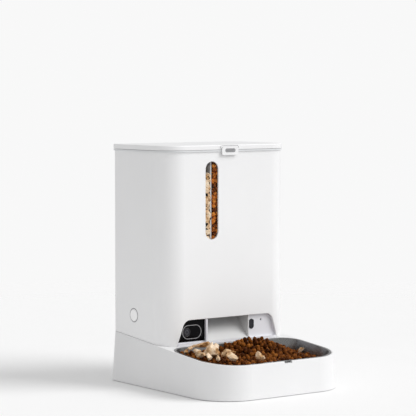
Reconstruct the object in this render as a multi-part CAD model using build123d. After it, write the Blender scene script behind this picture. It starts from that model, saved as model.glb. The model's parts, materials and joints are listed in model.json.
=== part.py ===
from build123d import *
import os
from math import acos, cos, pi, radians, sin, tan

# Automatic pet feeder for two kinds of dry food. Millimetres, +Z up, the front faces -Y.
# The origin is the middle of the footprint, on the surface that the feet stand on.
# The four feet lift the base; the body stands on the rear half of the base's sloping top,
# and the steel bowl sits in a well in the front half.

os.makedirs("parts", exist_ok=True)

# ---- driving dimensions -------------------------------------------------------------

# base
floor_w, floor_l = 241.0, 276.0      # footprint
floor_front_r, floor_back_r = 58.5, 12.0
draft = 3.5                          # degrees, the base narrows upwards
shell_bottom = 0.8                   # gap under the base's skirt
skin = 2.5                           # housing wall
rim_edge_r = 1.2                     # rounding of the base's upper edge
rim_mid_z, rim_slope = 62.0, 0.093   # the base's top: height at y = 0, rise per mm to the rear
plate_z, plate_t = 4.0, 2.0          # bottom plate
foot_places = [(-78, -108), (78, -108), (-109, 124), (109, 124)]
foot_r = 6.5
notch_x, notch_w, notch_depth = 4.5, 14.0, 2.7    # finger notch in the front rim
front_posts = [(x, y) for x in (-62, 62) for y in (-95, -30)]
rear_posts = [(x, 60) for x in (-106, 106)]
body_posts = [(x, y) for x in (-104, 104) for y in (48, 112)]
post_r, pilot_r, screw_r = 4.0, 1.5, 1.45
screw_head_r, screw_head_h = 2.9, 1.6

# body, tank and lid
body_w, body_front, body_back = 228.6, 0.5, 133.5
body_front_r, body_back_r = 34.0, 4.0
body_top = 344.3
overhang = 1.9                       # tank flange and lid stand this far proud of the body
flange_top = 346.5
lid_bottom, lid_top = 347.0, 354.0
tank_gap, tank_wall = 0.8, 2.0
tank_floor = 208.0                   # straight walls above, hopper below
inlet_z = 164.0                      # lower end of the hoppers
divider_x, divider_t, divider_top = -29.0, 2.0, 336.0

# window
window_x, window_z = -30.7, 272.9
window_w, window_h = 23.4, 114.5

# front opening, a trapezoid with round upper corners
opening_top, opening_top_half, opening_spread = 99.8, 79.4, 1 / 3
opening_corner_r = 13.0
fascia_y, fascia_t = 6.0, 2.0        # front face and thickness of the recessed panel
sill_z = 66.0
lip_z, lip_front = 62.8, 1.4         # foot and front of the lip round the chute's mouth
lip_w, lip_foot = 2.7, 2.8           # width of its upright, height of its foot

# bowl, in the plane of the base's top
bowl_w, bowl_front, bowl_back = 228.8, -132.4, -1.0
bowl_front_r, bowl_back_r = 52.5, 30.0
bowl_lip, bowl_t, bowl_depth = 3.4, 0.8, 36.0
bowl_draft, bowl_foot_r = 14.0, 12.0
bowl_lip_t = 1.2
well_gap, well_wall = 0.6, 2.0       # gap round the bowl's tub, wall of the well that holds it

# chute, inside faces
chute_left, chute_right, chute_rear_left = -37.5, 38.0, -68.0
chute_front, chute_back = 3.6, 54.0
chute_top = 115.8
chute_t = 2.0

# paddle wheels, gears and motors, all turning about +X
rotor_y, rotor_z = 42.0, 140.0
paddle_r, hub_r, shaft_r = 22.0, 8.0, 3.0
chamber_r = 22.6
vane_t = 1.8
left_vanes, right_vanes = 5, 6
bush_r, bush_half, bush_play = 5.0, 2.0, 0.02
left_chamber = (-66.0, -35.0)
right_chamber = (-26.0, 34.0)
housing_x = (-70.0, 38.0)
gear_teeth, pinion_teeth, module, pressure = 32, 12, 1.0, 25.0
gear_gap, gear_play = 0.1, 0.15      # extra centre distance, backlash
cover_depth = 12.0
motor_r, motor_l = 12.0, 25.0

# side button
button_y, button_z, button_r = 81.2, 102.5, 9.1

# camera, sensor and microphone on the front panel
ring_x, ring_z, ring_w, ring_h = -64.0, 81.8, 34.0, 20.5
lens_x = -73.0
sensor_x, sensor_z = 46.0, 85.6
mic_x, mic_z, mic_r = 64.0, 90.8, 1.5

# power inlet and speaker
jack_x, jack_z = -70.0, 22.0
speaker_x, speaker_z, speaker_r = 70.0, 110.0, 16.0
speaker_back = 124.5
slot_count, slot_pitch, slot_half_w, slot_field_r = 7, 4.0, 0.8, 14.0

# main board
board_half_w, board_low, board_high = 46.0, 84.0, 142.0
board_y, board_t = 126.0, 1.6

# lid hinge and latch
hinge_y, hinge_z = 134.8, 348.0
knuckle_r, pin_r, bore_play = 2.9, 1.2, 0.05
knuckle_ends = (51.0, 60.0, 70.0, 79.0)    # tank, lid and tank knuckles, outwards from the middle
knuckle_gap, knuckle_room = 0.4, 0.5
latch_w, latch_low, latch_high = 29.6, 339.0, 352.2
latch_front, latch_rear = -3.3, -1.6
latch_pin_y, latch_pin_z = -2.4, 351.0
latch_pin_r, latch_corner, latch_gap = 0.6, 3.0, 0.3
insert_w, insert_h, insert_z = 19.0, 5.8, 345.7

# lid liner and seal
skirt_low, skirt_t = 340.5, 1.8
seal_low, seal_high = 342.5, 344.5
seal_proud, seal_depth = 2.0, 0.8

# drying cartridge under the lid, seen from above
cartridge_low, cartridge_high = (14.0, 40.0), (86.0, 96.0)
cartridge_foot = 334.0

# backup cells, three in a row along X
cell_r, cell_l, cell_nub = 17.1, 60.0, 1.5
cell_y, cell_z = 100.0, 24.5
tub_half_x, tub_half_y, tub_top = 94.0, 18.0, 43.0
door_half_x, door_front, door_back = 98.0, 79.0, 121.0

# values that follow from those above
tank_inset = skin + tank_gap
tank_half = body_w / 2 - tank_inset - tank_wall
tank_front = body_front + tank_inset + tank_wall
tank_back = body_back - tank_inset - tank_wall
inlet_y = (rotor_y - 17, rotor_y + 17)
left_side = (-tank_half, divider_x - divider_t / 2)
right_side = (divider_x + divider_t / 2, tank_half)
plug_inset = tank_inset + tank_wall + 3.0
panel_front = fascia_y - 0.8
bush_places = (housing_x[0] + 2, left_chamber[1] + 2, right_chamber[0] - 2, housing_x[1] - 2)
pinion_y = rotor_y + module * (gear_teeth + pinion_teeth) / 2 + gear_gap
motor_screw_places = [(pinion_y, rotor_z - 8.5), (pinion_y, rotor_z + 8.5)]
left_face, right_face = housing_x
left_out, right_out = left_face - cover_depth, right_face + cover_depth


# ---- shared shapes --------------------------------------------------------------------

def block(low, high):
    """A box from its lowest to its highest corner."""
    size = [b - a for a, b in zip(low, high)]
    return Pos(*low) * Box(*size, align=(Align.MIN, Align.MIN, Align.MIN))


def rod(radius, start, end):
    """A round bar from one point to another."""
    run = Vector(*end) - Vector(*start)
    bar = Cylinder(radius, run.length, align=(Align.CENTER, Align.CENTER, Align.MIN))
    return Plane(origin=start, z_dir=run) * bar


def plan(width, front, back, front_r, back_r):
    """A flat rectangle seen from above, with its own radius at the front and back corners."""
    sheet = Pos(0, (front + back) / 2) * Rectangle(width, back - front)
    sheet = fillet(sheet.vertices().sort_by(Axis.Y)[:2], front_r)
    return fillet(sheet.vertices().sort_by(Axis.Y)[-2:], back_r)


def upright(sketch, low, high, taper=0.0):
    """A sketch seen from above, raised between two heights."""
    return extrude(Pos(0, 0, low) * sketch, amount=high - low, taper=taper)


def facing(sketch, near, far):
    """A sketch in X and Z, given depth along Y."""
    sheet = Plane(origin=(0, far, 0), x_dir=(1, 0, 0), z_dir=(0, -1, 0)) * sketch
    return extrude(sheet, amount=far - near)


def sideways(sketch, start, end):
    """A sketch in Y and Z, given width along X."""
    sheet = Plane(origin=(start, 0, 0), x_dir=(0, 1, 0), z_dir=(1, 0, 0)) * sketch
    return extrude(sheet, amount=end - start)


def pill(x, z, width, height):
    """A tall or wide slot shape with round ends."""
    if height > width:
        return Pos(x, z) * SlotOverall(height, width, rotation=90)
    return Pos(x, z) * SlotOverall(width, height)


def top_plane(lift=0.0):
    """The base's sloping top, raised or lowered."""
    return Plane(origin=(0, 0, rim_mid_z + lift), x_dir=(1, 0, 0), z_dir=(0, -rim_slope, 1))


def above_top(lift=0.0):
    """Everything above the base's sloping top."""
    return top_plane(lift) * Box(500, 500, 500, align=(Align.CENTER, Align.CENTER, Align.MIN))


def below_top(lift=0.0):
    return top_plane(lift) * Box(500, 500, 500, align=(Align.CENTER, Align.CENTER, Align.MAX))


def top_z(y):
    return rim_mid_z + rim_slope * y


def screw(x, y, low, length):
    """A screw driven upwards: the head is below the height given."""
    foot = low - screw_head_h
    shank = rod(screw_r, (x, y, foot), (x, y, low + length))
    head = rod(screw_head_r, (x, y, foot), (x, y, low))
    recess = rod(screw_head_r * 0.4, (x, y, foot), (x, y, foot + screw_head_h / 2))
    return shank + head - recess


def save(name, *solids):
    shape = solids[0] if len(solids) == 1 else Compound(children=list(solids))
    export_step(shape, "parts/" + name + ".step")


# ---- base -----------------------------------------------------------------------------

def base_block(inset, low, drop):
    """The base's outer form, set in from its skin and cut off below its top."""
    sheet = plan(floor_w - 2 * inset, inset - floor_l / 2, floor_l / 2 - inset,
                 floor_front_r - inset, floor_back_r - inset)
    return upright(sheet, low, 100, draft) - above_top(-drop)


def bowl_sheet(grow):
    """The outline of the bowl's lip, in the base's top plane."""
    return plan(bowl_w + 2 * grow, bowl_front - grow, bowl_back + grow,
                bowl_front_r + grow, bowl_back_r + grow)


def bowl_tub(grow):
    """The bowl's hollow, grown outwards: a tapered tub below the base's top plane."""
    tub = extrude(bowl_sheet(grow - bowl_lip), amount=-bowl_depth - grow, taper=bowl_draft)
    tub = fillet(tub.edges().group_by(Axis.Z)[0], bowl_foot_r + grow)
    return top_plane() * tub


def make_base_housing():
    outside = base_block(0, shell_bottom, 0)
    rim = outside.edges().filter_by(lambda e: e.center().Z > 45)
    outside = fillet(rim, rim_edge_r)
    shell = outside - base_block(skin, shell_bottom - 1, skin)
    well = bowl_tub(bowl_t + well_gap + well_wall) & base_block(1, plate_z + 3, 0.5)
    shell = shell + well
    for x, y in front_posts:
        shell += rod(post_r, (x, y, plate_z + plate_t), (x, y, 24))
    for x, y in rear_posts:
        shell += rod(post_r, (x, y, plate_z + plate_t), (x, y, top_z(y) - 1))
    shell -= bowl_tub(bowl_t + well_gap)
    shell -= top_plane() * extrude(bowl_sheet(0.4), amount=-bowl_lip_t - 0.3)
    for x, y in front_posts + rear_posts:
        shell -= rod(pilot_r, (x, y, 0), (x, y, plate_z + plate_t + 6))
    for x, y in body_posts:
        shell -= rod(pilot_r, (x, y, 30), (x, y, 90))
    # a wide mouth under the body lets the wiring down, and the chute's foot sits in its front
    shell -= block((-60, 62, 50), (60, 122, 90))
    # finger notch in the front rim, and the hole for the power inlet
    shell -= top_plane() * block((notch_x - notch_w / 2, -150, -notch_depth),
                                  (notch_x + notch_w / 2, bowl_front + 6, 2))
    shell -= rod(4.6, (jack_x, 130, jack_z), (jack_x, 140, jack_z))
    return shell


def make_dc_jack():
    """Barrel socket for a low-voltage plug, with its centre pin."""
    body = block((jack_x - 6, 122, jack_z - 5.5), (jack_x + 6, 133.2, jack_z + 5.5))
    nose = rod(4.3, (jack_x, 133.2, jack_z), (jack_x, 136.5, jack_z))
    hollow = rod(3.2, (jack_x, 126, jack_z), (jack_x, 137, jack_z))
    pin = rod(1.0, (jack_x, 124, jack_z), (jack_x, 135.5, jack_z))
    return body + nose - hollow + pin


def make_bottom_plate():
    inset = skin + 0.4
    sheet = plan(floor_w - 2 * inset - 0.6, inset + 0.3 - floor_l / 2, floor_l / 2 - inset - 0.3,
                 floor_front_r - inset, floor_back_r - inset)
    plate = upright(sheet, plate_z, plate_z + plate_t)
    tub_x, tub_y = tub_half_x + 2, tub_half_y + 2
    plate += block((-tub_x, cell_y - tub_y, plate_z), (tub_x, cell_y + tub_y, tub_top + 2))
    plate -= block((-tub_half_x, cell_y - tub_half_y, 0), (tub_half_x, cell_y + tub_half_y, tub_top))
    for side in (-1, 1):
        # rail with a lip that carries one end of the battery door
        near, far, lip = side * (door_half_x + 0.4), side * (door_half_x + 3), side * (door_half_x - 3)
        plate += block((min(near, far), 62, 1.6), (max(near, far), 124, plate_z))
        plate += block((min(lip, far), 62, 1.2), (max(lip, far), 124, 1.8))
    for x, y in front_posts + rear_posts:
        plate -= rod(1.7, (x, y, 0), (x, y, 8))
    return plate


def make_battery_door():
    door = block((-door_half_x, door_front, 2.0), (door_half_x, door_back, 3.8))
    door = fillet(door.edges().filter_by(Axis.Z), 1.5)
    for step in range(5):
        y = 92 + 4 * step
        door -= block((-14, y, 1.9), (14, y + 1.8, 2.6))
    return door


def make_cells():
    """Three backup cells end to end, each with its raised contact."""
    cells = []
    for index in range(3):
        start = -1.5 * (cell_l + cell_nub) + index * (cell_l + cell_nub)
        can = rod(cell_r, (start, cell_y, cell_z), (start + cell_l, cell_y, cell_z))
        can = fillet(can.edges(), 1.0)
        end = start + cell_l
        cells.append(can + rod(4.75, (end - 0.5, cell_y, cell_z), (end + cell_nub, cell_y, cell_z)))
    return cells


def make_contacts():
    half = 1.5 * (cell_l + cell_nub)
    plates = []
    for side in (-1, 1):
        inner, outer = side * (half + 0.1), side * (tub_half_x - 0.1)
        plates.append(block((min(inner, outer), cell_y - 8, cell_z - 8),
                            (max(inner, outer), cell_y + 8, cell_z + 8)))
    return plates


def make_feet():
    feet = []
    for x, y in foot_places:
        foot = rod(foot_r, (x, y, 0), (x, y, plate_z))
        feet.append(fillet(foot.edges().group_by(Axis.Z)[0], 1.0))
    return feet


def make_plate_screws():
    return [screw(x, y, plate_z, 7) for x, y in front_posts + rear_posts]


def make_body_screws():
    """Screws from under the base's top up into the body's posts."""
    return [screw(x, y, top_z(y) - skin - 0.6, 11) for x, y in body_posts]


# ---- bowl -----------------------------------------------------------------------------

def make_bowl():
    lip = top_plane() * extrude(bowl_sheet(0), amount=-bowl_lip_t)
    return lip + bowl_tub(bowl_t) - bowl_tub(0)


# ---- body -----------------------------------------------------------------------------

def opening_sheet(grow):
    """The front opening, larger all round by the amount given."""
    low = 40.0
    high = opening_top + grow
    half_high = opening_top_half + grow
    half_low = half_high + (high - low) * opening_spread
    sheet = make_face(Polyline((-half_low, low), (half_low, low), (half_high, high),
                               (-half_high, high), close=True))
    return fillet(sheet.vertices().sort_by(Axis.Y)[-2:], opening_corner_r + grow)


def body_sheet(inset):
    return plan(body_w - 2 * inset, body_front + inset, body_back - inset,
                max(body_front_r - inset, 1), max(body_back_r - inset, 1))


def make_body_shell():
    shell = upright(body_sheet(0), 50, body_top) - upright(body_sheet(skin), 40, body_top + 1)
    for x, y in body_posts:
        shell += rod(post_r, (x, y, 60), (x, y, 96))
        near, far = sorted((x, 112.5 * x / abs(x)))
        shell += block((near, y - 1, 60), (far, y + 1, 96))
    for x, y in body_posts:
        shell -= rod(pilot_r, (x, y, 50), (x, y, 84))
    shell -= below_top(0.25)
    shell -= facing(opening_sheet(0), -5, 12)
    shell -= facing(pill(window_x, window_z, window_w, window_h), -5, body_front + skin + 0.5)
    shell -= rod(button_r + 1.5, (-120, button_y, button_z), (-108, button_y, button_z))
    # speaker slots in the rear wall
    for step in range(slot_count):
        offset = slot_offset(step)
        half_high = (slot_field_r ** 2 - offset ** 2) ** 0.5
        shell -= block((speaker_x + offset - slot_half_w, 128, speaker_z - half_high),
                       (speaker_x + offset + slot_half_w, 136, speaker_z + half_high))
    mouth = shell.edges().filter_by(lambda e: abs(e.center().Y - body_front) < 0.01
                                    and e.center().Z < opening_top + 1
                                    and abs(e.center().X) < opening_top_half + 15
                                    and e.center().Z > top_z(0) + 1)
    return fillet(mouth, 0.8)


def slot_offset(step):
    """Place of each speaker slot from the middle of the row."""
    return slot_pitch * (step - (slot_count - 1) / 2)


def make_speaker():
    frame = rod(speaker_r, (speaker_x, speaker_back, speaker_z), (speaker_x, 130.7, speaker_z))
    frame -= rod(speaker_r - 2, (speaker_x, 128.5, speaker_z), (speaker_x, 131, speaker_z))
    cone = Plane(origin=(speaker_x, 128.4, speaker_z), z_dir=(0, 1, 0)) * Cone(
        12, 5, 1.6, align=(Align.CENTER, Align.CENTER, Align.MIN))
    magnet = rod(9, (speaker_x, 119, speaker_z), (speaker_x, speaker_back + 0.1, speaker_z))
    return frame + magnet + cone


def make_window_pane():
    """Clear pane: its boss fills the body's slot, its flange lies between body and tank."""
    boss = facing(pill(window_x, window_z, window_w - 0.3, window_h - 0.3), body_front + 0.4, 3.2)
    flange = facing(pill(window_x, window_z, window_w + 8, window_h + 8), 3.1, 3.7)
    return boss + flange


# ---- tank -----------------------------------------------------------------------------

def hopper(side, inlet, grow):
    """The sloping lower part of one compartment."""
    def sheet(x, y, z):
        return Pos((x[0] + x[1]) / 2, (y[0] + y[1]) / 2, z) * Rectangle(
            x[1] - x[0] + 2 * grow, y[1] - y[0] + 2 * grow)
    upper = sheet(side, (tank_front + 2, tank_back), tank_floor)
    lower = sheet(inlet, inlet_y, inlet_z)
    outline = upright(body_sheet(tank_inset + tank_wall - grow), inlet_z - 5, tank_floor + 5)
    return loft([lower, upper]) & outline


def compartment(side):
    """The straight upper part of one compartment, with the tank's round corners."""
    inside = upright(body_sheet(tank_inset + tank_wall), tank_floor - 0.01, flange_top + 5)
    return inside & block((side[0], -20, tank_floor - 1), (side[1], 150, flange_top + 6))


def make_tank():
    tank = upright(body_sheet(tank_inset), tank_floor - 2, flange_top)
    tank += upright(body_sheet(-overhang), body_top + 0.1, flange_top)
    for side, inlet in ((left_side, left_chamber), (right_side, right_chamber)):
        tank += hopper(side, inlet, tank_wall)
    for side, inlet in ((left_side, left_chamber), (right_side, right_chamber)):
        tank -= hopper(side, inlet, 0)
        tank -= compartment(side)
    # the wall between the compartments stops at the slot that the divider stands in
    slot = divider_t / 2 + 0.1
    tank -= block((divider_x - slot, tank_front, tank_floor + 4), (divider_x + slot, tank_back, 400))
    # ribs that hold the divider's rear edge
    for side in (-1, 1):
        near, far = sorted((divider_x + side * (slot + 0.1), divider_x + side * (slot + 1.7)))
        tank += block((near, tank_back - 4, tank_floor + 4), (far, tank_back + 0.5, divider_top))
    tank -= facing(pill(window_x, window_z, window_w + 5, window_h + 5), 2, tank_front + 0.1)
    # knuckles of the lid hinge, on the rear of the flange
    tank -= lid_knuckle_room()
    for side in (-1, 1):
        for start, end in tank_knuckles(side):
            tank += knuckle(start, end, flange_top, -1)
    for side in (-1, 1):
        tank -= rod(pin_r + bore_play, (side * 45, hinge_y, hinge_z), (side * 85, hinge_y, hinge_z))
    return tank


def make_divider():
    half = divider_t / 2
    sheet = block((divider_x - half, tank_front + 0.2, tank_floor + 4.2),
                  (divider_x + half, tank_back - 0.2, divider_top))
    return fillet(sheet.edges().filter_by(Axis.X).group_by(Axis.Z)[-1], 4)


# ---- lid, hinge and latch -------------------------------------------------------------

def lid_knuckles(side):
    """The lid's knuckle sits between two of the tank's."""
    return [tuple(sorted((side * knuckle_ends[1], side * knuckle_ends[2])))]


def tank_knuckles(side):
    inner = sorted((side * knuckle_ends[0], side * (knuckle_ends[1] - knuckle_gap)))
    outer = sorted((side * (knuckle_ends[2] + knuckle_gap), side * knuckle_ends[3]))
    return [tuple(inner), tuple(outer)]


def knuckle(start, end, anchor_z, direction):
    """A hinge barrel with a web that reaches the flange below it or the lid above it."""
    barrel = rod(knuckle_r, (start, hinge_y, hinge_z), (end, hinge_y, hinge_z))
    low, high = sorted((anchor_z + direction * 2.0, hinge_z))
    web = block((start, hinge_y - knuckle_r, low), (end, hinge_y + 0.5, high))
    return barrel + web


def lid_knuckle_room():
    """Clearance in the flange round the lid's knuckles."""
    room = Part()
    for side in (-1, 1):
        for start, end in lid_knuckles(side):
            room += rod(knuckle_r + knuckle_room, (start - knuckle_gap, hinge_y, hinge_z),
                        (end + knuckle_gap, hinge_y, hinge_z))
    return room


def make_lid():
    lid = upright(body_sheet(-overhang), lid_bottom, lid_top)
    lid = fillet(lid.edges().group_by(Axis.Z)[-1], 1.6)
    lid -= upright(body_sheet(1.5), lid_bottom - 1, lid_top - 2.2)
    for side in (-1, 1):
        for start, end in tank_knuckles(side):
            lid -= rod(knuckle_r + knuckle_room, (start - knuckle_gap, hinge_y, hinge_z),
                       (end + knuckle_gap, hinge_y, hinge_z))
        for start, end in lid_knuckles(side):
            lid += knuckle(start, end, lid_bottom + 1.5, 1)
        lid -= rod(pin_r + bore_play, (side * 45, hinge_y, hinge_z), (side * 85, hinge_y, hinge_z))
    # recess for the latch in the front edge
    half = latch_w / 2 + latch_gap
    lid -= block((-half, -3, lid_bottom - 1), (half, -0.5, latch_high + 1))
    for side in (-1, 1):
        near, far = sorted((side * half, side * (half + 1.8)))
        lid += block((near, latch_front, latch_pin_z - 1.3), (far, 0, latch_pin_z + 0.9))
        lid -= rod(latch_pin_r + bore_play, (near, latch_pin_y, latch_pin_z),
                   (far, latch_pin_y, latch_pin_z))
    return lid


def make_hinge_pins():
    near, far = knuckle_ends[0], knuckle_ends[3]
    return [rod(pin_r, (side * near, hinge_y, hinge_z), (side * far, hinge_y, hinge_z))
            for side in (-1, 1)]


def make_latch():
    """Pad with bevelled upper corners that turns about a pin along its top edge."""
    half = latch_w / 2
    inner, shoulder = half - latch_corner, latch_high - latch_corner
    sheet = make_face(Polyline((-half, latch_low), (half, latch_low), (half, shoulder), (inner, latch_high),
                               (-inner, latch_high), (-half, shoulder), close=True))
    sheet = fillet(sheet.vertices().sort_by(Axis.Y)[:2], latch_corner)
    pad = facing(sheet, latch_front, latch_rear)
    pad -= rod(latch_pin_r + bore_play, (-half - 1, latch_pin_y, latch_pin_z),
               (half + 1, latch_pin_y, latch_pin_z))
    pad -= facing(pill(0, insert_z, insert_w, insert_h), latch_front - 1, latch_front + 0.8)
    return pad


def make_latch_insert():
    """Grip in the pad, with upright ribs."""
    grip = facing(pill(0, insert_z, insert_w - 0.1, insert_h - 0.1), latch_front + 0.5, latch_front + 0.8)
    for step in range(-3, 4):
        grip += block((2.3 * step - 0.45, latch_front + 0.1, insert_z - 1.9),
                      (2.3 * step + 0.45, latch_front + 0.6, insert_z + 1.9))
    return grip


def make_latch_pin():
    reach = latch_w / 2 + 2
    return rod(latch_pin_r, (-reach, latch_pin_y, latch_pin_z), (reach, latch_pin_y, latch_pin_z))


def make_liner():
    """Inner face of the lid: a plate with a skirt that reaches down into the tank's mouth."""
    liner = upright(body_sheet(1.6), lid_bottom + 0.4, lid_bottom + 2.0)
    skirt = upright(body_sheet(plug_inset), skirt_low, lid_bottom + 0.5)
    skirt -= upright(body_sheet(plug_inset + skirt_t), skirt_low - 0.5, lid_bottom + 0.4)
    groove = upright(body_sheet(plug_inset - seal_proud), seal_low, seal_high)
    groove -= upright(body_sheet(plug_inset + seal_depth), seal_low - 0.5, seal_high + 0.5)
    liner = liner + skirt - groove
    low, high = cartridge_low, cartridge_high
    frame = block((low[0] - 2.3, low[1] - 2.3, 341), (high[0] + 2.3, high[1] + 2.3, lid_bottom + 0.5))
    pocket = block((low[0] - 0.3, low[1] - 0.3, 330), (high[0] + 0.3, high[1] + 0.3, lid_bottom + 0.4))
    return liner + frame - pocket


def make_seal():
    ring = upright(body_sheet(plug_inset - 1.6), seal_low + 0.1, seal_high - 0.1)
    return ring - upright(body_sheet(plug_inset + seal_depth), seal_low - 0.5, seal_high + 0.5)


def make_cartridge():
    """Cup for drying beads, open below and closed by its grille."""
    low, high = cartridge_low, cartridge_high
    cup = block((low[0], low[1], cartridge_foot), (high[0], high[1], lid_bottom + 0.2))
    cup = fillet(cup.edges().filter_by(Axis.Z), 3)
    return cup - block((low[0] + 1.6, low[1] + 1.6, cartridge_foot - 1),
                       (high[0] - 1.6, high[1] - 1.6, lid_bottom - 1.6))


def make_grille():
    low, high = cartridge_low, cartridge_high
    grille = block((low[0] + 1.7, low[1] + 1.7, cartridge_foot),
                   (high[0] - 1.7, high[1] - 1.7, cartridge_foot + 1.4))
    for row in range(8):
        for column in range(10):
            x, y = low[0] + 9 + 6 * column, low[1] + 7 + 6 * row
            grille -= block((x - 2, y - 0.8, cartridge_foot - 1), (x + 2, y + 0.8, cartridge_foot + 2))
    return grille


# ---- front panel, camera and chute ----------------------------------------------------

def corner_sheet(left, right, low, high, corner):
    """A rectangle in X and Z with its lower left corner rounded."""
    sheet = Pos((left + right) / 2, (low + high) / 2) * Rectangle(right - left, high - low)
    return fillet(sheet.vertices().sort_by(Axis.X)[:2].sort_by(Axis.Y)[0], corner)


def chute_lip():
    """Lip in front of the chute's left wall and floor, tied to the panel behind it."""
    left, right = chute_left - 3.1, chute_right + 3.0
    high = opening_top - 0.3
    outer = corner_sheet(left, right, lip_z, high, 3.5)
    inner = corner_sheet(left + lip_w, right + 9, lip_z + lip_foot, high + 9, 2.0)
    lip = facing(outer - inner, lip_front, chute_front - 0.2)
    lip += block((left, lip_front, sill_z + 1), (left + 0.9, fascia_y + fascia_t, high))
    return lip + block((left - 1, fascia_y, sill_z + 1), (left + 0.9, fascia_y + fascia_t, high - 1))


def make_fascia():
    """Recessed panel: a tunnel joins it to the body's opening, and a sill closes its foot."""
    inside = upright(body_sheet(skin + 0.15), 40, 120)
    back = fascia_y + fascia_t
    panel = facing(opening_sheet(2.2), fascia_y, back)
    tunnel = facing(opening_sheet(2.2), body_front + skin + 0.1, fascia_y)
    tunnel -= facing(opening_sheet(0.2), 0, fascia_y)
    infill = facing(opening_sheet(-0.3), fascia_y, back)
    sill = facing(opening_sheet(-0.6), body_front + 0.3, back)
    sill &= block((-150, -5, 0), (150, 20, sill_z)) & upright(body_sheet(0.3), 40, 120)
    fascia = ((panel + tunnel) & inside) + infill + sill
    fascia -= below_top(0.2)
    fascia -= block((chute_left - 3.0, -5, 40), (chute_right + 2.6, 20, 105))
    fascia += facing(Pos((chute_left + chute_right) / 2, opening_top + 2.2) * Rectangle(90, 1.4),
                     fascia_y, back)
    fascia += chute_lip()
    fascia -= facing(Pos(lens_x, ring_z) * Circle(6.4), 0, 20)
    fascia -= facing(Pos(mic_x, mic_z) * Circle(mic_r), 0, 20)
    fascia -= facing(pill(sensor_x, sensor_z, 7.6, 13.6), 0, 20)
    return fascia


def make_camera_panel():
    sheet = opening_sheet(-0.3) & (Pos(-90, 90) * Rectangle(2 * (90 + chute_left - 3.2), 44.4))
    panel = facing(sheet, panel_front, fascia_y)
    return panel - facing(Pos(lens_x, ring_z) * Circle(5.4), 0, 20)


def make_camera_ring():
    ring = facing(pill(ring_x, ring_z, ring_w, ring_h), panel_front - 0.5, panel_front)
    return ring - facing(pill(ring_x, ring_z, ring_w - 1.8, ring_h - 1.8), 0, 20)


def make_camera_lens():
    lens = facing(Pos(lens_x, ring_z) * Circle(5.3), panel_front - 0.3, fascia_y)
    return fillet(lens.edges().group_by(Axis.Y)[0], 0.25)


def make_camera_module():
    barrel = rod(6.2, (lens_x, fascia_y + 0.1, ring_z), (lens_x, 14, ring_z))
    return barrel + block((lens_x - 8, 13, ring_z - 8), (lens_x + 8, 21, ring_z + 8))


def make_sensor_lens():
    bezel = facing(pill(sensor_x, sensor_z, 9, 15), fascia_y - 0.7, fascia_y)
    stem = facing(pill(sensor_x, sensor_z, 7.4, 13.4), fascia_y - 0.1, fascia_y + 5)
    dish = facing(pill(sensor_x, sensor_z, 6.6, 12.6), fascia_y - 1, fascia_y - 0.3)
    return bezel + stem - dish


def make_microphone():
    start = fascia_y + fascia_t + 0.1
    return rod(4.5, (mic_x, start, mic_z), (mic_x, start + 3.9, mic_z))


def chute_sheet(grow):
    """The chute seen from above; its hidden left wall slants in towards the mouth."""
    left, right, rear = chute_left - grow, chute_right + grow, chute_rear_left - grow
    return make_face(Polyline((left, chute_front), (right, chute_front), (right, chute_back + grow),
                              (rear, chute_back + grow), (rear, 36 - 0.5 * grow),
                              (left, 12 - 0.5 * grow), close=True))


def make_chute():
    slope_low = (chute_front - 1, sill_z - 0.6)
    reach = chute_back + 3 - slope_low[0]
    room = make_face(Polyline(slope_low, (slope_low[0] + reach, slope_low[1] + reach),
                              (slope_low[0] + reach, 140), (slope_low[0], 140), close=True))
    body = make_face(Polyline((chute_front, sill_z - 2.4), (chute_front + 3, sill_z - 2.4),
                              (chute_back + 2, sill_z + reach - 5.5), (chute_back + 2, chute_top),
                              (27, chute_top), (27, 101), (chute_front + 4.5, 101),
                              (chute_front, 98.8), close=True))
    chute = upright(chute_sheet(chute_t), 50, 140) & sideways(body, -100, 60)
    chute -= upright(chute_sheet(0), 50, 141) & sideways(room, -101, 61)
    return chute


# ---- feed mechanism -------------------------------------------------------------------

def make_feed_housing():
    housing = block((housing_x[0], rotor_y - 27, 116), (housing_x[1], rotor_y + 27, inlet_z - 0.2))
    for start, end in (left_chamber, right_chamber):
        housing -= rod(chamber_r, (start, rotor_y, rotor_z), (end, rotor_y, rotor_z))
        housing -= block((start, inlet_y[0], rotor_z), (end, inlet_y[1], 170))
        housing -= block((start, rotor_y - 14, 110), (end, chute_back - 2, rotor_z))
    for x in bush_places:
        housing -= rod(bush_r + bush_play, (x - bush_half - 0.6, rotor_y, rotor_z),
                       (x + bush_half + 0.6, rotor_y, rotor_z))
    # lightening pockets in the front and rear faces
    for x in (-54, -8, 16):
        housing -= block((x - 9, 10, 150), (x + 9, 22, 160))
        housing -= block((x - 9, 62, 150), (x + 9, 70, 160))
    return housing


def make_bushes():
    rings = []
    for x in bush_places:
        ring = rod(bush_r, (x - bush_half, rotor_y, rotor_z), (x + bush_half, rotor_y, rotor_z))
        rings.append(ring - rod(shaft_r + 0.05, (x - 3, rotor_y, rotor_z), (x + 3, rotor_y, rotor_z)))
    return rings


def make_paddle(chamber, vanes):
    """Soft paddle wheel: thin vanes round a hub, a little narrower than its chamber."""
    start, end = chamber[0] + 0.6, chamber[1] - 0.6
    wheel = rod(hub_r, (start, rotor_y, rotor_z), (end, rotor_y, rotor_z))
    for index in range(vanes):
        vane = Pos(0, (hub_r + paddle_r - 1) / 2) * Rectangle(vane_t, paddle_r - hub_r + 1)
        vane = Rot(0, 0, 360 * index / vanes) * vane
        wheel += sideways(Pos(rotor_y, rotor_z) * vane, start, end)
    return wheel - rod(shaft_r + 0.02, (start - 1, rotor_y, rotor_z), (end + 1, rotor_y, rotor_z))


def make_shaft(start, end):
    shaft = rod(shaft_r, (start, rotor_y, rotor_z), (end, rotor_y, rotor_z))
    return chamfer(shaft.edges(), 0.4)


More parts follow.
